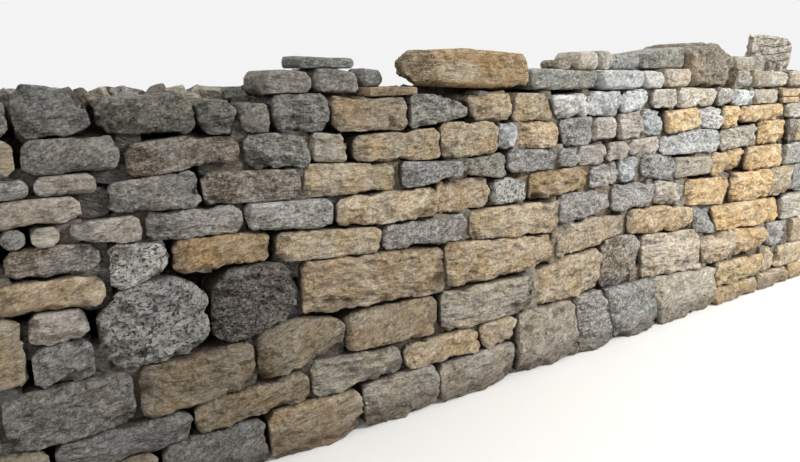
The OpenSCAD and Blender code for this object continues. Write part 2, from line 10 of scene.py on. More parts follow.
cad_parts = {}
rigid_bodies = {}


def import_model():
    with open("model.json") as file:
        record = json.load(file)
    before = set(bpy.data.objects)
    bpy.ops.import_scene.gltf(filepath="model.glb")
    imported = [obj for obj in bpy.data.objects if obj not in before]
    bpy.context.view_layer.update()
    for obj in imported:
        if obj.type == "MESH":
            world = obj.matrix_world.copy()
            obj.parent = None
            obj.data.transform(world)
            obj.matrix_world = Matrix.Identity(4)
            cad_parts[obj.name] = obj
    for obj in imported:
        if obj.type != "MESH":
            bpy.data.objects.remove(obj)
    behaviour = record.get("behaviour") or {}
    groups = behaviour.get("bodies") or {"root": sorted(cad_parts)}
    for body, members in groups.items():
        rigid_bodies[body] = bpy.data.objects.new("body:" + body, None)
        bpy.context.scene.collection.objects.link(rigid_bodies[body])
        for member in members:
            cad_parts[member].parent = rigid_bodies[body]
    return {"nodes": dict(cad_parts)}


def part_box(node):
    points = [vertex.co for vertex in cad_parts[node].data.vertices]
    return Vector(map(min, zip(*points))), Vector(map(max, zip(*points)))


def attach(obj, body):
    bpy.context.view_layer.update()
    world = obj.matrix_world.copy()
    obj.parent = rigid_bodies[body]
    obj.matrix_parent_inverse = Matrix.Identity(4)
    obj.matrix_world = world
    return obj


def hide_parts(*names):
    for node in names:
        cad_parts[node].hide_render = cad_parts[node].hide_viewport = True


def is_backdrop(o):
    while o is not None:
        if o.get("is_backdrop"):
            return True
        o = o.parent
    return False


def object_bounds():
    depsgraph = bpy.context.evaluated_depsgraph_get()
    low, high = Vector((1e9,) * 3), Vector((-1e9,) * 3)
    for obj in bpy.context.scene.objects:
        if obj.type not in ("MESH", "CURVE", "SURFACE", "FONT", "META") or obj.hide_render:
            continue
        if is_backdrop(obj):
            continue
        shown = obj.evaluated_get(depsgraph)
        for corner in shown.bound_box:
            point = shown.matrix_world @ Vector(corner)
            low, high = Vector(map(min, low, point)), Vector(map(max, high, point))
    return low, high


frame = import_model()
cad_low, cad_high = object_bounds()


# The studio: a pale floor that the wall stands on, a pale sky all round, and soft light from high
# in front. It is a little stronger from the right, where the newest work stands in the open.
FLOOR_SIZE = 80
FLOOR_FADES, FLOOR_GONE = 4.5, 15
FLOOR_SHOWS = (0.76, 0.75, 0.73, 1)
FLOOR_GIVES = (0.34, 0.33, 0.31, 1)
FLOOR_ROUGHNESS = 0.9
SKY_SEEN = 0.90
SKY_LOW, SKY_HIGH = 0.22, 0.95
SKY_LIGHT = (1, 0.99, 0.97, 1)
WHITE = (1, 1, 1, 1)
EYE = (-2.200, -2.182, 1.350)
EYE_TURN = math.radians(33.9)
EYE_DIP = math.radians(13.86)
LENS_MM = 27.9
LAMPS_AIM_AT = Vector((0, 0, 0.6))


class Wire:
    """A value in a shader: arithmetic on it adds Math nodes, and node() adds any other node."""

    def __init__(self, tree, socket):
        self.tree = tree
        self.socket = socket

    def node(self, kind, settings=None, inputs=None, output=0):
        made = self.tree.nodes.new("ShaderNode" + kind)
        for name, value in (settings or {}).items():
            setattr(made, name, value)
        for name, value in (inputs or {}).items():
            if isinstance(value, Wire):
                self.tree.links.new(value.socket, made.inputs[name])
            else:
                made.inputs[name].default_value = value
        if isinstance(output, tuple):
            return [Wire(self.tree, made.outputs[one]) for one in output]
        return Wire(self.tree, made.outputs[output] if made.outputs else None)

    def maths(self, operation, first, second):
        return self.node("Math", {"operation": operation}, {0: first, 1: second})

    def __add__(self, other):
        return self.maths("ADD", self, other)

    def __sub__(self, other):
        return self.maths("SUBTRACT", self, other)

    def __mul__(self, other):
        return self.maths("MULTIPLY", self, other)

    def __rsub__(self, other):
        return self.maths("SUBTRACT", other, self)

    __radd__ = __add__
    __rmul__ = __mul__


def between(wire, low, high):
    """0 at low and 1 at high, with a smooth step between them."""
    settings = {"interpolation_type": "SMOOTHSTEP"}
    return wire.node("MapRange", settings, {0: wire, 1: low, 2: high})


def mixed(factor, first, second, how="MIX"):
    """One colour over another, as much as the factor says."""
    lead = next(wire for wire in (factor, first, second) if isinstance(wire, Wire))
    settings = {"data_type": "RGBA", "blend_type": how}
    return lead.node("Mix", settings, {0: factor, 6: first, 7: second}, 2)


bpy.context.scene.view_settings.view_transform = "Standard"

bpy.ops.mesh.primitive_plane_add(size=FLOOR_SIZE)
floor = bpy.context.object
floor.name = "floor"
floor_paint = bpy.data.materials.new("pale floor")
floor_paint.use_nodes = True
floor_tree = floor_paint.node_tree
floor_shader = floor_tree.nodes["Principled BSDF"]
floor_shader.inputs["Roughness"].default_value = FLOOR_ROUGHNESS
seen = Wire(floor_tree, None).node("LightPath")
tone = mixed(seen, FLOOR_GIVES, FLOOR_SHOWS)
floor_tree.links.new(tone.socket, floor_shader.inputs["Base Color"])
spot = seen.node("TexCoord", {}, {}, "Object")
distance = spot.node("VectorMath", {"operation": "LENGTH"}, {0: spot}, "Value")
far = between(distance, FLOOR_FADES, FLOOR_GONE)
haze = seen.node("Emission", {}, {0: WHITE, 1: SKY_SEEN})
near = Wire(floor_tree, floor_shader.outputs[0])
faded = seen.node("MixShader", {}, {0: far * seen, 1: near, 2: haze})
floor_tree.links.new(faded.socket, floor_tree.nodes["Material Output"].inputs["Surface"])
floor.data.materials.append(floor_paint)
floor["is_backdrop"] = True

sky = bpy.data.worlds.new("pale sky")
sky.use_nodes = True
bpy.context.scene.world = sky
sky.node_tree.nodes.clear()
ray = Wire(sky.node_tree, None).node("LightPath")
way = ray.node("TexCoord", {}, {}, "Generated")
rise = way.node("SeparateXYZ", {}, {0: way}, 2)
glow = SKY_LOW + (SKY_HIGH - SKY_LOW) * rise.maths("MAXIMUM", rise, 0.0)
shown = ray.node("Background", {}, {0: WHITE, 1: SKY_SEEN})
light = ray.node("Background", {}, {0: SKY_LIGHT, 1: glow})
both = ray.node("MixShader", {}, {0: ray, 1: light, 2: shown})
both.node("OutputWorld", {}, {0: both})

for name, place, size, watts in (
    ("key light", (5.5, -5.5, 5.6), 1.8, 950),
    ("left light", (-4.6, -4.6, 3.2), 3.0, 90),
    ("back light", (-1.5, 5.0, 4.5), 3.0, 190),
):
    bpy.ops.object.light_add(type="AREA", location=place)
    lamp = bpy.context.object
    lamp.name = name
    lamp.data.size = size
    lamp.data.energy = watts
    aim = LAMPS_AIM_AT - Vector(place)
    lamp.rotation_euler = aim.to_track_quat("-Z", "Y").to_euler()

bpy.ops.object.camera_add(location=EYE, rotation=(math.pi / 2 - EYE_DIP, 0, -EYE_TURN))
camera = bpy.context.object
camera.name = "camera"
camera.data.lens = LENS_MM
bpy.context.scene.camera = camera


# The footing: the first and broadest stones of both faces, grey-buff with strong slanting layers
# under the middle of the wall, laid dry and flat. Each stone of the model is roughed out again
# here as a split stone, as those of every later course are.
SEED = 1390
GRIT_FRONT = 0.0078
GRIT_BACK = 0.013
DOUBLES = 0.00002

chance = random.Random(SEED)


def pick(*objects):
    bpy.ops.object.select_all(action="DESELECT")
    for one in objects:
        one.select_set(True)
    bpy.context.view_layer.objects.active = objects[-1]


def points_of(mesh):
    points = np.empty(len(mesh.vertices) * 3, np.float32)
    mesh.vertices.foreach_get("co", points)
    return points.reshape(-1, 3)


def extent(stone):
    points = points_of(stone.data)
    return Vector(points.min(axis=0)), Vector(points.max(axis=0))


def stones_of(node):
    """The separate stones of a node of the model, from left to right, to the nearest centimetre,
    and from low to high."""
    copy = bpy.data.objects.new(node + "_stone", frame["nodes"][node].data.copy())
    bpy.context.scene.collection.objects.link(copy)
    pick(copy)
    bpy.ops.object.mode_set(mode="EDIT")
    bpy.ops.mesh.select_all(action="SELECT")
    bpy.ops.mesh.remove_doubles(threshold=DOUBLES)
    bpy.ops.mesh.separate(type="LOOSE")
    bpy.ops.object.mode_set(mode="OBJECT")

    def place(stone):
        low, high = extent(stone)
        return round((low.x + high.x) / 2, 2), low.z + high.z

    return sorted(bpy.context.selected_objects, key=place)


def cut_off(point, normal):
    """Cuts off what lies past a plane, from the stone that is open in edit mode."""
    bpy.ops.mesh.select_all(action="SELECT")
    bpy.ops.mesh.bisect(plane_co=point, plane_no=normal, use_fill=True, clear_outer=True)


OUT_OF_FRONT = Vector((0, -1, 0))
OUT_OF_BACK = Vector((0, 1, 0))
BROAD_LEAN, SMALL_LEAN = (0.10, 0.42), (0.5, 1.2)
BROAD_SHARE = (0.35, 0.95)
SMALL_BITE = (0.004, 0.014)
DEEPEST_BITE = 0.026
FULL_BITE_HALF = 0.09
SPREAD_ASIDE = 2.1


def knock_off(stone, outward, broad, small):
    """Breaks a stone to its shape as a waller's hammer does: broad flakes off its face, small
    ones off its arrises. Where no outward side is given, the flakes come off all round."""
    points = points_of(stone.data)
    half = [(points[:, axis].max() - points[:, axis].min()) / 2 for axis in range(3)]
    deepest = DEEPEST_BITE * min(1, half[2] / FULL_BITE_HALF)
    pick(stone)
    bpy.ops.object.mode_set(mode="EDIT")
    for blow in range(broad + small):
        turn = chance.uniform(0, math.tau)
        lean = chance.uniform(*(BROAD_LEAN if blow < broad else SMALL_LEAN))
        if outward:
            out = outward
            aside = Vector((math.cos(turn), 0, math.sin(turn)))
        else:
            out = Vector([chance.choice((-1, 1)) * (axis == blow % 3) for axis in range(3)])
            aside = Vector([math.cos(turn + axis * SPREAD_ASIDE) for axis in range(3)])
            aside = (aside - aside.project(out)).normalized()
        normal = out * math.cos(lean) + aside * math.sin(lean)
        reach = float((points @ np.array(normal, np.float32)).max())
        drop = sum(abs(aside[axis]) * half[axis] for axis in range(3)) * math.sin(lean)
        if blow < broad:
            bite = chance.uniform(*BROAD_SHARE) * drop
        else:
            bite = chance.uniform(*SMALL_BITE)
        cut_off(normal * (reach - min(bite, deepest)), normal)
    bpy.ops.object.mode_set(mode="OBJECT")


MOST_LOST = 0.06


def lost(stone, low, high):
    """Whether the blows took so much off a stone that too little is left."""
    now_low, now_high = extent(stone)
    was, now = high - low, now_high - now_low
    return max(was[axis] - now[axis] for axis in range(3)) > MOST_LOST


def applied(stone, kind, **settings):
    """Adds a modifier to a stone and applies it."""
    modifier = stone.modifiers.new(kind.lower(), kind)
    for name, value in settings.items():
        setattr(modifier, name, value)
    bpy.context.view_layer.objects.active = stone
    bpy.ops.object.modifier_apply(modifier=modifier.name)


CLOUD_DEPTH = 2


def relief_texture(name, kind, size):
    texture = bpy.data.textures.new(name, kind)
    texture.noise_scale = size
    if kind == "CLOUDS":
        texture.noise_depth = CLOUD_DEPTH
    return texture


HACKLE = relief_texture("hackle", "CLOUDS", 0.030)
# The sizes of relief on a split stone: each one's texture, its height and its middle level.
RELIEFS = (
    (relief_texture("lumps", "CLOUDS", 0.17), 0.034, 0.52),
    (relief_texture("scallops", "VORONOI", 0.105), 0.031, 0.52),
    (relief_texture("flakes", "VORONOI", 0.045), 0.013, 0.50),
    (HACKLE, 0.012, 0.52),
    (relief_texture("grit", "CLOUDS", 0.015), 0.008, 0.52),
)
BED_ANYWHERE = 40
BED_ROLL, BED_YAW = 0.15, 0.1
BED_FLATTENED = 1.8
FACETS_KEPT = 0.36

bedding = bpy.data.objects.new("bedding", None)
bpy.context.scene.collection.objects.link(bedding)


def lay_bed(tilt):
    """Turns the bedding of the next stone, which its relief and its grain both follow."""
    bedding.location = [chance.uniform(-BED_ANYWHERE, BED_ANYWHERE) for axis in range(3)]
    roll = chance.uniform(-BED_ROLL, BED_ROLL)
    bedding.rotation_euler = (roll, tilt, chance.uniform(-BED_YAW, BED_YAW))
    bedding.scale = (1, 1, 1 / BED_FLATTENED)


def rough_out(stone, grit, relief):
    """Gives a stone the relief of a split one, along its bedding and unlike any other."""
    applied(stone, "REMESH", mode="VOXEL", voxel_size=grit)
    for texture, height, middle in RELIEFS:
        applied(stone, "DISPLACE", texture=texture, texture_coords="OBJECT",
                texture_coords_object=bedding, strength=height * relief, mid_level=middle)
    applied(stone, "DECIMATE", ratio=FACETS_KEPT)


PLANE_DECIMALS = 3


def planes_of(stone):
    """The sides of a stone of the model: which way each faces, and how far out it lies."""
    sides = [(np.array(side.normal), side.normal.dot(side.center)) for side in stone.data.polygons]
    alike = {tuple(np.round((*way, level), PLANE_DECIMALS)): (way, level) for way, level in sides}
    return alike.values()


FLAT_SIDE = 0.9
FACES_BED = 0.7
MOST_STRETCH = 1.5


def bed_down(stone, sides, share):
    """Fills a flat stone out again until so many per cent of its beds are flat, as its bedding
    planes are."""
    points = points_of(stone.data)
    ways = np.empty(len(points) * 3, np.float32)
    stone.data.vertex_normals.foreach_get("vector", ways)
    ways = ways.reshape(-1, 3)
    for normal, level in sides:
        out = points @ normal
        bed = out[ways @ normal > FACES_BED]
        if abs(normal[2]) < FLAT_SIDE or not len(bed):
            continue
        full = np.percentile(bed, 100 - share)
        middle = out.mean()
        stretch = ((out - middle) / (full - middle)).clip(0, MOST_STRETCH)
        points += (level - full) * stretch[:, None] * normal
    stone.data.vertices.foreach_set("co", points.astype(np.float32).ravel())
    stone.data.update()


BED_CLEARANCE = 0.0012
HEAD_CLEARANCE = 0.0035
PROUD = 0.010
MOSTLY = 0.6


def hold_in(stone, sides, outward):
    """Keeps a stone off its neighbours and within the wall: only its face may stand proud."""
    points = points_of(stone.data)
    for normal, level in sides:
        facing = normal @ np.array(outward) if outward else 0
        clearance = HEAD_CLEARANCE if abs(normal[0]) > MOSTLY else BED_CLEARANCE
        limit = level + (PROUD if facing > MOSTLY else -clearance)
        over = (points @ normal - limit).clip(min=0)
        points -= over[:, None] * normal
    points = points.clip(np.array(cad_low), np.array(cad_high)).astype(np.float32)
    stone.data.vertices.foreach_set("co", points.ravel())
    stone.data.update()


HIDDEN_KEPT = 0.10


def thin_out(stone, hidden):
    """Leaves few faces where a stone lies in the wall."""
    mesh = stone.data
    centres = np.empty(len(mesh.polygons) * 3, np.float32)
    mesh.polygons.foreach_get("center", centres)
    chosen = hidden(centres.reshape(-1, 3), *extent(stone))
    mesh.vertices.foreach_set("select", np.zeros(len(mesh.vertices), bool))
    mesh.edges.foreach_set("select", np.zeros(len(mesh.edges), bool))
    mesh.polygons.foreach_set("select", chosen)
    pick(stone)
    bpy.ops.object.mode_set(mode="EDIT")
    bpy.ops.mesh.decimate(ratio=HIDDEN_KEPT)
    bpy.ops.object.mode_set(mode="OBJECT")


BATTER = 0.08


def mark(stone, tint, open_above):
    """Notes on a stone how its layers lie, its shade (its own tone, with any painted shade and
    light in it), and how far behind the faces of the wall each point is, for the painted shade and
    soil of the joints. What is higher than open_above lies open to the sky."""
    mesh = stone.data
    low, high = extent(stone)
    points = points_of(mesh)
    layers = (points - np.array(bedding.location)) @ np.array(bedding.rotation_euler.to_matrix())
    grain = mesh.attributes.new("grain", "FLOAT_VECTOR", "POINT")
    grain.data.foreach_set("vector", layers.astype(np.float32).ravel())
    shade = mesh.attributes.new("shade", "FLOAT_COLOR", "POINT")
    shade.data.foreach_set("color", np.tile(np.array([*tint, 1], np.float32), len(points)))
    lean = BATTER * (points[:, 2] - low.z)
    behind = (
        points[:, 1] - low.y - lean,
        high.y - lean - points[:, 1],
        cad_high.x - abs(points[:, 0]),
        np.where(points[:, 2] > open_above, 0, 1),
    )
    depth = mesh.attributes.new("depth", "FLOAT", "POINT")
    depth.data.foreach_set("value", np.min(behind, axis=0).astype(np.float32))


SCREEN_WHITE, SCREEN_CURVE = 255, 2.2


def paint(red, green, blue):
    """A colour given as it looks on a screen, in the light values that a shader takes."""
    return tuple((level / SCREEN_WHITE) ** SCREEN_CURVE for level in (red, green, blue)) + (1,)


def noise(place, scale, detail, stretch=(1, 1, 1), roughness=0.55):
    stretched = place.node("VectorMath", {"operation": "MULTIPLY"}, {0: place, 1: stretch})
    inputs = {"Vector": stretched, "Scale": scale, "Detail": detail, "Roughness": roughness}
    return place.node("TexNoise", {}, inputs)


def chips(place, size):
    """The height of small flat chips that each lean their own way, and a number for each."""
    inputs = {"Vector": place, "Scale": 1 / size}
    colour, centre = place.node("TexVoronoi", {}, inputs, ("Color", "Position"))
    off = place.node("VectorMath", {"operation": "SUBTRACT"}, {0: place, 1: centre})
    lean = place.node("VectorMath", {"operation": "SUBTRACT"}, {0: colour, 1: (0.5, 0.5, 0.5)})
    height = place.node("VectorMath", {"operation": "DOT_PRODUCT"}, {0: off, 1: lean}, "Value")
    return height, place.node("SeparateColor", {}, {0: colour}, 1)


# Patterns in the grain of a stone: scale, detail, stretch along the bedding and roughness.
CLOUD_GRAIN = (6.5, 4, (1, 1, 1.5), 0.60)
STREAK_GRAIN = (11, 6, (1, 1, 6), 0.70)
COMBED_GRAIN = (22, 5, (1, 1, 7), 0.68)
MOTTLED_GRAIN = (42, 5, (1, 1, 1.8), 0.72)
CRYSTAL_GRAIN = (100, 5, (1, 1, 1.6), 0.85)
BRUISE_GRAIN = (20, 2, (1, 1, 1.6))
LICHEN_GRAIN = (17, 5)
PIT_GRAIN = (95, 2, (1, 1, 1.3))
HOLLOW_GRAIN = (40, 3, (1, 1, 1.3))
FOOT_GRAIN = (9, 3)
PATCH_DETAIL = 3
BED_WAVES = {"Scale": 6.5, "Distortion": 9.0, "Detail": 5.0, "Detail Scale": 0.35}
BIG_CHIP, SMALL_CHIP = 0.034, 0.012

# Where each pattern begins to show, and where it shows in full.
PATCH_STEP = (0.42, 0.62)
STAIN_STEP = (1.50, 1.25)
CRACK_STEP = (0.14, 0.02)
CRACKED_STEP = (0.40, 0.52)
BRUISE_STEP = (0.68, 0.73)
LICHEN_STEP = (0.50, 0.62)
LICHEN_THIN_STEP = (0.40, 0.55)
PIT_STEP = (0.580, 0.630)
HOLLOW_STEP = (0.610, 0.655)
RIDGE_STEP = (0.52, 0.62)
CREASE_STEP = (0.48, 0.38)
FOOT_STEP = (0.06, -0.06)
JOINT_STEP = (0.014, 0.052)

# How strongly each shows.
STAIN_FRAY = 0.9
CRACK_TINT, LICHEN_TINT, PIT_TINT = 0.6, 0.45, 0.85
RIDGE_WEAR_AND_HIGHLIGHT, CREASE_PAINTED_SHADE, FOOT_TINT, JOINT_TINT = 0.4, 0.5, 0.55, 0.92
FOOT_FRAY = 0.16
CHIP_DARKEST, BIG_CHIP_TINT, SMALL_CHIP_TINT = 0.84, 0.20, 0.12

# Heights and depths for the bump, in metres. CHIP_LEAN says how steeply the chips lean.
CHIP_LEAN = 0.70
STREAK_HIGH, COMBED_HIGH, MOTTLE_HIGH, CRYSTAL_HIGH = 0.016, 0.007, 0.007, 0.0050
CRACK_DEEP, PIT_DEEP = 0.010, 0.010
SMOOTHEST, ROUGHER_BY = 0.80, 0.18
SHINE = 0.25

# The colour of soil and painted shade deep in the joints and on the hidden sides of the stones.
JOINT_SOIL_AND_SHADE = (0.045, 0.034, 0.024, 1)
FOOT_BROWN = (0.12, 0.095, 0.068, 1)
BRUISE = (0.78, 0.74, 0.66, 1)
FINISHES = {}
RELIEF = {}


def stone_finish(letter, name, body, patch, pale, dark, layering=1.0, pits=0.0, lichen=None,
                 patch_size=0.12, relief=1.0, bruises=0.0, speckle=0.55, beds=0.0, stains=()):
    """A kind of stone, known by a letter: its body colour, patches of another, pale and dark
    grain, layers and pits. A stain has a colour, a middle, a reach each way and a strength."""
    RELIEF[letter] = relief
    finish = bpy.data.materials.new(name)
    finish.use_nodes = True
    tree = finish.node_tree
    shader = tree.nodes["Principled BSDF"]
    start = Wire(tree, None)
    grain = start.node("Attribute", {"attribute_name": "grain"}, {}, 1)
    shade = start.node("Attribute", {"attribute_name": "shade"}, {}, 0)
    depth = start.node("Attribute", {"attribute_name": "depth"}, {}, 2)
    edge = start.node("NewGeometry", {}, {}, "Pointiness")
    where = start.node("TexCoord", {}, {}, "Object")

    patches = between(noise(grain, 1 / patch_size, PATCH_DETAIL), *PATCH_STEP)
    clouds = noise(grain, *CLOUD_GRAIN)
    streaks = noise(grain, *STREAK_GRAIN)
    combing = noise(grain, *COMBED_GRAIN)
    mottle = noise(grain, *MOTTLED_GRAIN)
    crystals = noise(grain, *CRYSTAL_GRAIN)
    big_chips, big_number = chips(grain, BIG_CHIP)
    small_chips, small_number = chips(grain, SMALL_CHIP)

    colour = mixed(patches, body, patch)
    for stain, middle, reach, strength in stains:
        off = where.node("VectorMath", {"operation": "SUBTRACT"}, {0: where, 1: middle})
        off = off.node("VectorMath", {"operation": "DIVIDE"}, {0: off, 1: reach})
        spread = off.node("VectorMath", {"operation": "LENGTH"}, {0: off}, "Value")
        spread = spread + STAIN_FRAY * mottle
        colour = mixed(between(spread, *STAIN_STEP) * strength, colour, stain)
    for pattern, begins, full, strength, tint in (
        (clouds, 0.50, 0.66, 0.35, dark),
        (clouds, 0.46, 0.30, 0.45, pale),
        (streaks, 0.52, 0.66, min(1, 0.55 * layering), dark),
        (streaks, 0.46, 0.32, 0.35 * layering, pale),
        (combing, 0.52, 0.66, 0.50, dark),
        (combing, 0.47, 0.33, 0.45, pale),
        (mottle, 0.52, 0.63, 0.7 * speckle, pale),
        (mottle, 0.47, 0.35, 0.7 * speckle, dark),
        (crystals, 0.52, 0.60, 0.85 * speckle, pale),
        (crystals, 0.48, 0.39, 0.85 * speckle, dark),
    ):
        colour = mixed(between(pattern, begins, full) * strength, colour, tint)
    level = CHIP_DARKEST + BIG_CHIP_TINT * big_number + SMALL_CHIP_TINT * small_number
    colour = colour.node("VectorMath", {"operation": "SCALE"}, {0: colour, "Scale": level})
    height = big_chips * CHIP_LEAN + small_chips * CHIP_LEAN
    height = height + streaks * (STREAK_HIGH * layering) + combing * (COMBED_HIGH * layering)
    height = height + mottle * MOTTLE_HIGH + crystals * CRYSTAL_HIGH
    if beds:
        settings = {"wave_type": "BANDS", "bands_direction": "Z"}
        wave = grain.node("TexWave", settings, {"Vector": grain, **BED_WAVES}, 1)
        crack = between(wave, *CRACK_STEP) * between(clouds, *CRACKED_STEP) * beds
        colour = mixed(crack * CRACK_TINT, colour, dark)
        height = height - crack * CRACK_DEEP
    if bruises:
        bruised = between(noise(grain, *BRUISE_GRAIN), *BRUISE_STEP)
        colour = mixed(bruised * bruises, colour, BRUISE)
    if lichen:
        growth = between(noise(grain, *LICHEN_GRAIN), *LICHEN_STEP)
        growth = growth * between(mottle, *LICHEN_THIN_STEP)
        colour = mixed(growth * LICHEN_TINT, colour, lichen)
    if pits:
        hole = between(noise(grain, *PIT_GRAIN), *PIT_STEP)
        hollow = between(noise(grain, *HOLLOW_GRAIN), *HOLLOW_STEP)
        pit = hole.maths("MAXIMUM", hole, hollow) * pits
        colour = mixed(pit * PIT_TINT, colour, dark)
        height = height - pit * PIT_DEEP
    # Painted highlight and shade: the arrises are paled, partly as wear and partly as painted
    # highlight, and the creases are darkened as painted shade.
    colour = mixed(between(edge, *RIDGE_STEP) * RIDGE_WEAR_AND_HIGHLIGHT, colour, pale)
    colour = mixed(between(edge, *CREASE_STEP) * CREASE_PAINTED_SHADE, colour, dark)
    colour = mixed(1.0, colour, shade, "MULTIPLY")
    up = where.node("SeparateXYZ", {}, {0: where}, 2)
    foot = between(up - FOOT_FRAY * noise(grain, *FOOT_GRAIN), *FOOT_STEP)
    colour = mixed(foot * FOOT_TINT, colour, FOOT_BROWN)
    # Painted shade and soil: the stone darkens with its depth behind the face of the wall, in the
    # joints and on the sides of stones set back.
    colour = mixed(between(depth, *JOINT_STEP) * JOINT_TINT, colour, JOINT_SOIL_AND_SHADE)

    bump = height.node("Bump", {}, {"Strength": 1.0, "Distance": 1.0, "Height": height})
    roughness = SMOOTHEST + ROUGHER_BY * mottle
    tree.links.new(colour.socket, shader.inputs["Base Color"])
    tree.links.new(roughness.socket, shader.inputs["Roughness"])
    tree.links.new(bump.socket, shader.inputs["Normal"])
    shader.inputs["Specular IOR Level"].default_value = SHINE
    FINISHES[letter] = finish


stone_finish("b", "buff stone", paint(196, 178, 151), paint(199, 171, 129),
             paint(232, 221, 201), paint(100, 82, 60), relief=0.85, bruises=0.6)
stone_finish("y", "golden stone", paint(204, 180, 142), paint(208, 172, 120),
             paint(238, 224, 196), paint(140, 108, 72), layering=0.8, relief=0.85, bruises=0.6,
             speckle=0.45)
stone_finish("g", "grey stone", paint(151, 149, 144), paint(161, 155, 145),
             paint(212, 210, 204), paint(70, 68, 65), layering=0.9, relief=0.9, speckle=0.8)
stone_finish("n", "grey-buff layered stone", paint(191, 180, 164), paint(197, 180, 153),
             paint(228, 221, 206), paint(84, 75, 64), layering=1.25, relief=0.9)
stone_finish("c", "cream stone", paint(196, 189, 176), paint(192, 178, 154),
             paint(236, 231, 219), paint(98, 88, 74), layering=0.9)
stone_finish("p", "pinkish stone", paint(188, 180, 168), paint(184, 170, 153),
             paint(226, 219, 210), paint(92, 82, 73), layering=0.9, relief=0.9, speckle=0.7)
stone_finish("u", "grey-brown stone", paint(150, 146, 139), paint(126, 107, 84),
             paint(200, 194, 184), paint(56, 48, 40), layering=0.9, patch_size=0.28, relief=0.9,
             speckle=0.9)
stone_finish("m", "mossy stone", paint(148, 146, 139), paint(148, 145, 131),
             paint(204, 202, 193), paint(50, 48, 42), layering=1.1, lichen=paint(158, 155, 134),
             speckle=0.9)
stone_finish("d", "dark grey stone", paint(144, 143, 140), paint(154, 149, 143),
             paint(198, 196, 191), paint(54, 52, 50), layering=0.8, relief=0.9, speckle=0.9)

# Painted shade and light, mixed with age: the old work at the left is darker, most at its foot and
# top where shade fell on it, and the new work at the right is paler, partly as painted light.
OLD_WORK, NEW_WORK = -1.6, 0.3
OLD_SHADE, NEW_SHADE = 0.92, 1.12
DARKEST_SHADE = 0.5
PALEST_AT = 0.86
WEATHER_AND_SHADE = 1.0


def shade_at(x, z):
    """How light a stone is: the old work at the left is darker, partly with age and partly as
    painted shade, most at its foot and top, and the new work is paler, partly as painted light."""
    share = min(1, max(0, (x - OLD_WORK) / (NEW_WORK - OLD_WORK)))
    old = max(DARKEST_SHADE, OLD_SHADE - WEATHER_AND_SHADE * abs(z - PALEST_AT))
    return old + (NEW_SHADE - old) * share


def tree_of(objects):
    """The faces of all the objects, laid out for finding where a ray meets them."""
    points, faces = [], []
    for obj in objects:
        faces += [[len(points) + corner for corner in face.vertices] for face in obj.data.polygons]
        points += [point.co.copy() for point in obj.data.vertices]
    return BVHTree.FromPolygons(points, faces)


WALL_TOP = 1.26
DOWNWARD = Vector((0, 0, -1))
FACES_DOWN = -0.3
FURTHEST_DOWN = 0.012


def let_down(stones):
    """Lets loose stones down, the lowest first, until each touches what is under it."""
    laid = [obj for obj in bpy.context.scene.objects if obj.name.endswith(("_stones", "_rubble"))]
    trees = [tree_of([obj for obj in laid if extent(obj)[1].z > WALL_TOP])]
    for stone in sorted(stones, key=lambda stone: extent(stone)[0].z):
        fall = FURTHEST_DOWN
        for point in stone.data.vertices:
            if point.normal.z < FACES_DOWN:
                for tree in trees:
                    hit = tree.ray_cast(point.co, DOWNWARD, fall)
                    fall = min(fall, hit[3]) if hit[0] else fall
        if fall < FURTHEST_DOWN:
            stone.data.transform(Matrix.Translation((0, 0, -fall)))
        trees.append(tree_of([stone]))


FACET_ANGLE = math.radians(16)


def joined(stones, name):
    """Joins stones into one piece of the wall, smooth on its facets and crisp between them."""
    pick(*stones)
    bpy.ops.object.join()
    piece = bpy.context.object
    piece.name = name
    bpy.ops.object.shade_smooth_by_angle(angle=FACET_ANGLE)
    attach(piece, "root")
    return piece


BROAD_BLOWS, SMALL_BLOWS = 5, 4
FULL_RELIEF_HEIGHT = 0.13
BED_RISES = 0.3
SHADES = (0.88, 1.12)
WARMTH = 0.03
ABOVE_ALL = 2.0


def dress(node, kinds, grit, hidden, outward=None, tilt=0.45, open_above=ABOVE_ALL,
          broken=(), loose=None):
    """Makes the stones of a node again as split stones and joins them into one piece. The letters
    in kinds are their finishes, from left to right. A stone that has corners broken off loses what
    lies past each plane, given by a point and the way out. Loose stones keep a share of their flat
    beds, in per cent, and are let down on what is under them."""
    stones = stones_of(node)
    for stone, kind in zip(stones, kinds, strict=True):
        low, high = extent(stone)
        relief = RELIEF[kind] * min(1, (high.z - low.z) / FULL_RELIEF_HEIGHT)
        sides = planes_of(stone)
        for point, normal in broken:
            pick(stone)
            bpy.ops.object.mode_set(mode="EDIT")
            cut_off(point, normal)
            bpy.ops.object.mode_set(mode="OBJECT")
        whole = stone.data.copy()
        lay_bed(chance.uniform(-tilt, BED_RISES * tilt))
        knock_off(stone, outward, BROAD_BLOWS, SMALL_BLOWS)
        rough_out(stone, grit, relief)
        if lost(stone, low, high):
            stone.data = whole
            rough_out(stone, grit, relief)
        if loose:
            bed_down(stone, sides, loose)
        if hidden:
            thin_out(stone, hidden)
        hold_in(stone, sides, outward)
        # The level carries the painted shade and light of shade_at, besides each stone's own tone.
        level = shade_at((low.x + high.x) / 2, (low.z + high.z) / 2) * chance.uniform(*SHADES)
        warmth = chance.uniform(-WARMTH, WARMTH)
        mark(stone, (level * (1 + warmth), level, level * (1 - warmth)), open_above)
        stone.data.materials.clear()
        stone.data.materials.append(FINISHES[kind])
    if loose is not None:
        let_down(stones)
    piece = joined(stones, node + "_stones")
    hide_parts(node)
    return piece


FACE_DEPTH = 0.055


def behind_face(centres, low, high):
    return centres[:, 1] > low.y + FACE_DEPTH


def before_back(centres, low, high):
    return centres[:, 1] < high.y - FACE_DEPTH


dress("front_course_1", "bgbnnnggnyb", GRIT_FRONT, behind_face, OUT_OF_FRONT,
      tilt=0.5)
dress("back_course_1", "pubbgcgdbmn", GRIT_BACK, before_back, OUT_OF_BACK)


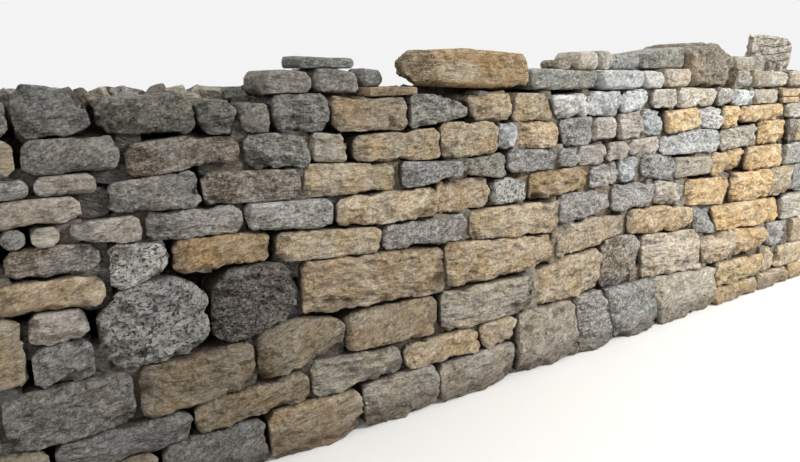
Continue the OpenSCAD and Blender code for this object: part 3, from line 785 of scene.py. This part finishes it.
# The face courses of the front: buff stone laid in new work through the middle and the right,
# grey and pitted stone in the older work at the left. Each stone is split to a flat bed and laid
# dry on the two below it, so that the upright joints are broken.
stone_finish("o", "orange stone", paint(173, 151, 123), paint(186, 156, 113),
             paint(222, 204, 174), paint(92, 70, 48), relief=0.9)
stone_finish("w", "pale blue-white stone", paint(197, 197, 193), paint(188, 190, 189),
             paint(236, 236, 231), paint(96, 96, 94), layering=0.7, speckle=0.7)
stone_finish("t", "pitted grey stone", paint(184, 181, 174), paint(190, 184, 173),
             paint(220, 217, 209), paint(52, 48, 44), layering=0.4, pits=1.0, relief=1.2,
             speckle=0.7)
stone_finish("v", "dark pitted stone", paint(114, 108, 102), paint(122, 114, 106),
             paint(170, 164, 153), paint(30, 27, 24), layering=0.3, pits=1.0, relief=1.2,
             speckle=0.8)

for course, kinds, slot in (
    (2, "gbnbbyb", "buff_stone"),
    (3, "gbbnbunbyg", "buff_stone"),
    (4, "gptvbbbbgy", "buff_stone"),
    (5, "btobgbggcyyb", "buff_stone"),
    (6, "gcupgbbogwdyy", "buff_stone"),
    (7, "gppgubdmdgpppwcyu", "buff_stone"),
    (8, "gumbbbdpwywyy", "grey_stone"),
    (9, "ggmmggbmbbwwwpcpwnyb", "grey_stone"),
):
    hidden = None if course == 9 else behind_face
    dress(f"front_course_{course}", kinds, GRIT_FRONT, hidden, OUT_OF_FRONT,
          open_above=WALL_TOP)


# The back face: the same field stone in plain level courses, with no special stone, split and
# laid dry like the front and leaning in a little as it rises.
for course, kinds in enumerate(
    (
        "mnpubbgcgd",
        "dbmdbmnpub",
        "cgdbmnpubb",
        "bgcgdbmnpu",
        "ubububbub",
        "npubbgcgdbm",
        "bmbmbbmnp",
        "gdbmnpubbgc",
    ),
    start=2,
):
    dress(f"back_course_{course}", kinds, GRIT_BACK, before_back, OUT_OF_BACK,
          open_above=WALL_TOP)


# The built heads: squared stones that cross the whole wall, and pairs of stones between them,
# laid in turn to close each end.
GRIT_HEADS = 0.011


def in_head(centres, low, high):
    inside = (centres[:, 1] > low.y + FACE_DEPTH) & (centres[:, 1] < high.y - FACE_DEPTH)
    return inside & (abs(centres[:, 0]) < cad_high.x - FACE_DEPTH) & (centres[:, 2] < WALL_TOP)


dress("left_wall_head", "gggggbgbgbgbg", GRIT_HEADS, in_head, open_above=WALL_TOP)
dress("right_wall_head", "bncngncnbgbyyn", GRIT_HEADS, in_head, open_above=WALL_TOP)


# The tie stones: long stones laid right through the wall, which show on both sides. The weight
# of the courses above keeps them in place, and they hold the two faces together.
GRIT_TIES = 0.010


def between_faces(centres, low, high):
    return (centres[:, 1] > low.y + FACE_DEPTH) & (centres[:, 1] < high.y - FACE_DEPTH)


dress("tie_stones", "gcbtwpn", GRIT_TIES, between_faces)


# The hearting: small stone packed tight between the two faces, dusty and never dressed. It is
# painted dark, partly as dust and soil and partly as painted shade deep in the joints, and shows
# as rubble where the top of the wall is still open.
PEBBLES = 6
PEBBLE_HALF = 0.05
PEBBLE_GRIT = 0.008
PEBBLE_BROAD, PEBBLE_SMALL = 6, 14
PEBBLE_BED, SET_BED = 0.3, 0.4
PEBBLE_RELIEF = 0.012
PEBBLE_KEPT = 0.16
RUBBLE_GRIT = 0.016
RUBBLE_RELIEF, RUBBLE_MIDDLE = 0.030, 0.55
RUBBLE_KEPT = 0.3
# Painted shade and soil: the hearting is darkened well below the face stones.
RUBBLE_SOIL_AND_SHADE = (0.45, 0.43, 0.40)
LEFT_END, RIGHT_END = -2.1, 2.09
TO_HEADS, TO_TIES = 0.11, 0.035
LIFT_LEVELS = (0.095, 0.395, 0.735, 1.012, 1.237)
SAME_LEVEL = 0.01
OPEN_TOP = ((-2.22, -0.17), (1.02, 1.56))
TOP_STONE = (0.040, 0.030, 0.024)
TOP_SIZES = (0.7, 1.25)
TOP_TIPPED, TOP_TURNED = 0.5, 6.28
TOP_SUNK = (-0.022, -0.002)
TOP_SHADES = (0.5, 0.85)
TOP_STEP = (0.018, 0.040)

stone_finish("h", "hearting stone", paint(118, 110, 98), paint(104, 92, 76),
             paint(160, 154, 142), paint(52, 45, 37), layering=0.5)
COBBLES = relief_texture("cobbles", "VORONOI", 0.045)

pebbles = []
for pebble in range(PEBBLES):
    bpy.ops.object.select_all(action="DESELECT")
    bpy.ops.mesh.primitive_cube_add(size=2 * PEBBLE_HALF)
    pebbles.append(bpy.context.object)
    knock_off(pebbles[-1], None, PEBBLE_BROAD, PEBBLE_SMALL)
    lay_bed(PEBBLE_BED)
    applied(pebbles[-1], "REMESH", mode="VOXEL", voxel_size=PEBBLE_GRIT)
    applied(pebbles[-1], "DISPLACE", texture=HACKLE, texture_coords="OBJECT",
            texture_coords_object=bedding, strength=PEBBLE_RELIEF)
    applied(pebbles[-1], "DECIMATE", ratio=PEBBLE_KEPT)


def small_stone(place, kind, level):
    """One more small split stone, set where the matrix says."""
    stone = pebbles[chance.randrange(len(pebbles))].copy()
    stone.data = stone.data.copy()
    bpy.context.scene.collection.objects.link(stone)
    stone.data.transform(place @ Matrix.Scale(1 / PEBBLE_HALF, 4))
    lay_bed(SET_BED)
    mark(stone, [level] * 3, 0)
    stone.data.materials.append(FINISHES[kind])
    return stone


def open_rubble(low, high):
    """Small stones lying on the hearting, wherever the top of the wall is open."""
    stones = []
    for start, end in OPEN_TOP:
        x = start
        while x < end:
            y = chance.uniform(low.y, high.y)
            tipped = [chance.uniform(-TOP_TIPPED, TOP_TIPPED) for axis in range(2)]
            turn = Euler((*tipped, chance.uniform(0, TOP_TURNED)))
            size = [radius * chance.uniform(*TOP_SIZES) for radius in TOP_STONE]
            place = Matrix.LocRotScale((x, y, high.z + chance.uniform(*TOP_SUNK)), turn, size)
            stones.append(small_stone(place, chance.choice("hhgun"), chance.uniform(*TOP_SHADES)))
            x += chance.uniform(*TOP_STEP)
    return stones


for node in ("hearting_lower", "hearting_middle", "hearting_upper"):
    lifts = stones_of(node)
    for lift in lifts:
        low, high = extent(lift)
        middle = (low.z + high.z) / 2
        odd = min(abs(middle - level) for level in LIFT_LEVELS) < SAME_LEVEL
        points = points_of(lift.data)
        points[points[:, 0] < LEFT_END, 0] -= TO_HEADS if odd else TO_TIES
        points[points[:, 0] > RIGHT_END, 0] += TO_HEADS if odd else TO_TIES
        lift.data.vertices.foreach_set("co", points.ravel())
        applied(lift, "REMESH", mode="VOXEL", voxel_size=RUBBLE_GRIT)
        applied(lift, "DISPLACE", texture=COBBLES, texture_coords="GLOBAL",
                strength=RUBBLE_RELIEF, mid_level=RUBBLE_MIDDLE)
        applied(lift, "DECIMATE", ratio=RUBBLE_KEPT)
        hold_in(lift, (), None)
        lay_bed(0)
        mark(lift, RUBBLE_SOIL_AND_SHADE, WALL_TOP)
        lift.data.materials.clear()
        lift.data.materials.append(FINISHES["h"])
    on_top = open_rubble(*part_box(node)) if node == "hearting_upper" else []
    piece = joined(lifts + on_top, node + "_rubble")
    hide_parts(node)


# The pinnings: splinters of the same stone, driven into the gaps that the face stones leave, from
# both sides of the wall. Each is found room for by looking into the joints of the face.
GAP_STEP = 0.012
GAP_DEPTH = 0.120
FROM_ENDS = 0.03
PIN_LOWEST, PIN_HIGHEST = 0.10, 1.35
STAND_OFF = 0.05
PIN_DEPTH = 0.055
NARROWEST, LOWEST, WIDEST = 0.056, 0.044, 0.20
PIN_TIGHT = 1.05
PIN_TIPPED = 0.25
PIN_HALF_DEPTH = (0.030, 0.045)
PIN_SET_BACK = (0.014, 0.030)
# Painted shade: the pinnings are made much darker than the face stones, as stones set back in the
# shade of the joints.
PIN_SHADOWED_LEVELS = (0.35, 0.60)
PIN_CLAIMS = 1.1
OLD_END = -0.9
SIDEWAYS_AND_UPRIGHT = ((-1, 0, 0), (1, 0, 0), (0, 0, -1), (0, 0, 1))


def room_at(tree, point):
    """The middle of the gap that a point lies in, with half its width and half its height."""
    reach = []
    for way in SIDEWAYS_AND_UPRIGHT:
        hit = tree.ray_cast(point, Vector(way), WIDEST)
        reach.append(hit[3] if hit[0] else WIDEST)
    left, right, down, up = reach
    middle = point + Vector(((right - left) / 2, 0, (up - down) / 2))
    return middle, (left + right) / 2, (down + up) / 2


def is_open(tree, outside, inward):
    """Whether one can look from outside deep into the wall."""
    return not tree.ray_cast(outside, Vector((0, inward, 0)), STAND_OFF + GAP_DEPTH)[0]


for side, slot, kinds in (
    ("front", "buff_stone", "bncbn"),
    ("back", "mixed_back_stone", "gbnum"),
):
    inward = 1 if side == "front" else -1
    into_gap = Vector((0, inward * (STAND_OFF + PIN_DEPTH), 0))
    tree = tree_of([obj for obj in bpy.context.scene.objects if obj.name.endswith("_stones")])
    pins, filled = [], []
    x = cad_low.x + FROM_ENDS
    while x < cad_high.x - FROM_ENDS:
        z = PIN_LOWEST
        while z < PIN_HIGHEST:
            outside = Vector((x, inward * (cad_low.y + BATTER * z) - inward * STAND_OFF, z))
            taken = any(abs(x - middle.x) < wide and abs(z - middle.z) < tall
                        for middle, wide, tall in filled)
            if is_open(tree, outside, inward) and not taken:
                middle, wide, tall = room_at(tree, outside + into_gap)
                middle, wide, tall = room_at(tree, middle)
                if NARROWEST < 2 * wide < WIDEST and LOWEST < 2 * tall < WIDEST:
                    turn = Euler((0, chance.uniform(-PIN_TIPPED, PIN_TIPPED), 0))
                    half_depth = chance.uniform(*PIN_HALF_DEPTH)
                    middle.y += inward * chance.uniform(*PIN_SET_BACK)
                    size = (wide * PIN_TIGHT, half_depth, tall * PIN_TIGHT)
                    place = Matrix.LocRotScale(middle, turn, size)
                    kind = chance.choice("gnu" if x < OLD_END else kinds)
                    # Painted shade: darker than the face stones around it.
                    level = shade_at(x, z) * chance.uniform(*PIN_SHADOWED_LEVELS)
                    pins.append(small_stone(place, kind, level))
                    filled.append((middle, wide * PIN_CLAIMS, tall * PIN_CLAIMS))
            z += GAP_STEP
        x += GAP_STEP
    joined(pins, side + "_pinnings")

HEAD_PIN_HALF_LENGTH = 0.060
HEAD_PIN_BACK = 0.030
HEAD_PIN_TIPPED = 0.15
HEAD_PIN_BITES = 0.012
HEAD_PIN_HALF_HEIGHT = 0.42
HEAD_PIN_SHADES = (0.5, 0.8)

pins = []
for node in ("left_wall_head", "right_wall_head"):
    boxes = []
    for stone in stones_of(node):
        boxes.append(extent(stone))
        bpy.data.objects.remove(stone)
    for low, high in boxes:
        for other_low, _ in boxes:
            if other_low.z == low.z and other_low.y > high.y:
                end = math.copysign(cad_high.x - HEAD_PIN_BACK - HEAD_PIN_HALF_LENGTH, low.x)
                middle = Vector((end, (high.y + other_low.y) / 2, (low.z + high.z) / 2))
                turn = Euler((chance.uniform(-HEAD_PIN_TIPPED, HEAD_PIN_TIPPED), 0, 0))
                size = (HEAD_PIN_HALF_LENGTH, (other_low.y - high.y) / 2 + HEAD_PIN_BITES,
                        (high.z - low.z) * HEAD_PIN_HALF_HEIGHT)
                place = Matrix.LocRotScale(middle, turn, size)
                pins.append(small_stone(place, chance.choice("gncu"),
                                        chance.uniform(*HEAD_PIN_SHADES)))
joined(pins, "head_pinnings")


# The top: flat cover stones along the right half, boulders and small stones set loose on them.
# The buff boulder at the left is brown with age at one end and freshly split beside it.
GRIT_COVERS, GRIT_SMALL, GRIT_BOULDERS = 0.011, 0.009, 0.010
COVER_BED, SMALL_BED, BOULDER_BED = 25, 35, 0
BUFF_BREAKS = (
    ((-0.872, -0.190, 1.400), (-0.81, 0.58, 0)),
    ((-0.868, -0.190, 1.408), (-0.63, 0.43, 0.65)),
    ((-0.868, -0.190, 1.375), (-0.50, 0.34, -0.80)),
)
LAYERED_BREAKS = (
    ((1.690, -0.149, 1.500), (-0.48, 0.88, 0)),
)

stone_finish("B", "split buff boulder", paint(196, 168, 126), paint(200, 160, 108),
             paint(230, 212, 180), paint(104, 80, 52), layering=1.3, stains=(
                 (paint(84, 68, 52), (-0.88, -0.15, 1.40), (0.20, 0.40, 0.13), 0.85),
                 (paint(232, 216, 190), (-0.58, -0.20, 1.375), (0.12, 0.14, 0.040), 0.85),
             ))
stone_finish("G", "grey boulder", paint(148, 141, 130), paint(134, 124, 108),
             paint(190, 183, 170), paint(70, 64, 56), layering=0.7, patch_size=0.2, relief=1.1,
             speckle=0.75, stains=(
                 (paint(192, 166, 139), (1.10, -0.20, 1.41), (0.08, 0.2, 0.075), 0.50),
             ))
stone_finish("L", "layered boulder", paint(176, 170, 158), paint(160, 150, 133),
             paint(212, 206, 194), paint(66, 60, 53), relief=1.2, beds=1.0)

dress("cover_stones", "mwwngncn", GRIT_COVERS, None, open_above=0, loose=COVER_BED)
dress("top_pinnings", "pgggoucpgmn", GRIT_SMALL, None, open_above=0,
      loose=SMALL_BED)
dress("buff_cope_boulder", "B", GRIT_BOULDERS, None, open_above=0,
      loose=BOULDER_BED, broken=BUFF_BREAKS)
dress("grey_cope_boulder", "G", GRIT_BOULDERS, None, open_above=0,
      loose=BOULDER_BED)
layered_boulder = dress("layered_cope_boulder", "L", GRIT_BOULDERS, None,
                        tilt=0.15, open_above=0, loose=BOULDER_BED, broken=LAYERED_BREAKS)


# The pinnings under the layered boulder: it leans on a small stone at its left, and splinters
# are pushed into the space that this leaves between it and the stones that it lies on.
UNDER_BOULDER = (
    (1.80, -0.115), (1.87, -0.10), (1.94, -0.12), (2.01, -0.10), (2.08, -0.12), (2.15, -0.10),
    (1.93, -0.04), (2.03, 0.00), (2.13, 0.04),
)
LOOK_UP_FROM, LOOK_DOWN_FROM, LOOK_FAR = 1.38, 1.48, 0.2
LEAST_SPACE = 0.004
WEDGE_HALF_LENGTH, WEDGE_HALF_WIDTH = (0.035, 0.05), 0.035
WEDGE_SHARE, WEDGE_BITES = 0.6, 0.003
WEDGE_SHADES = (0.7, 0.95)

over = tree_of([layered_boulder])
under = tree_of([bpy.data.objects["cover_stones_stones"],
                 bpy.data.objects["right_wall_head_stones"]])
wedges = []
for x, y in UNDER_BOULDER:
    roof = over.ray_cast(Vector((x, y, LOOK_UP_FROM)), Vector((0, 0, 1)), LOOK_FAR)[0]
    seat = under.ray_cast(Vector((x, y, LOOK_DOWN_FROM)), DOWNWARD, LOOK_FAR)[0]
    if roof and seat and roof.z - seat.z > LEAST_SPACE:
        turn = Euler((0, 0, chance.uniform(0, math.tau)))
        size = (chance.uniform(*WEDGE_HALF_LENGTH), WEDGE_HALF_WIDTH,
                (roof.z - seat.z) * WEDGE_SHARE + WEDGE_BITES)
        place = Matrix.LocRotScale(Vector((x, y, (roof.z + seat.z) / 2)), turn, size)
        wedges.append(small_stone(place, chance.choice("ncgp"), chance.uniform(*WEDGE_SHADES)))
joined(wedges, "boulder_pinnings")


# What was only an aid in the making goes, and the box of the finished wall is found, in metres.
for pebble in pebbles:
    bpy.data.objects.remove(pebble)
bpy.data.objects.remove(bedding)
low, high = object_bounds()
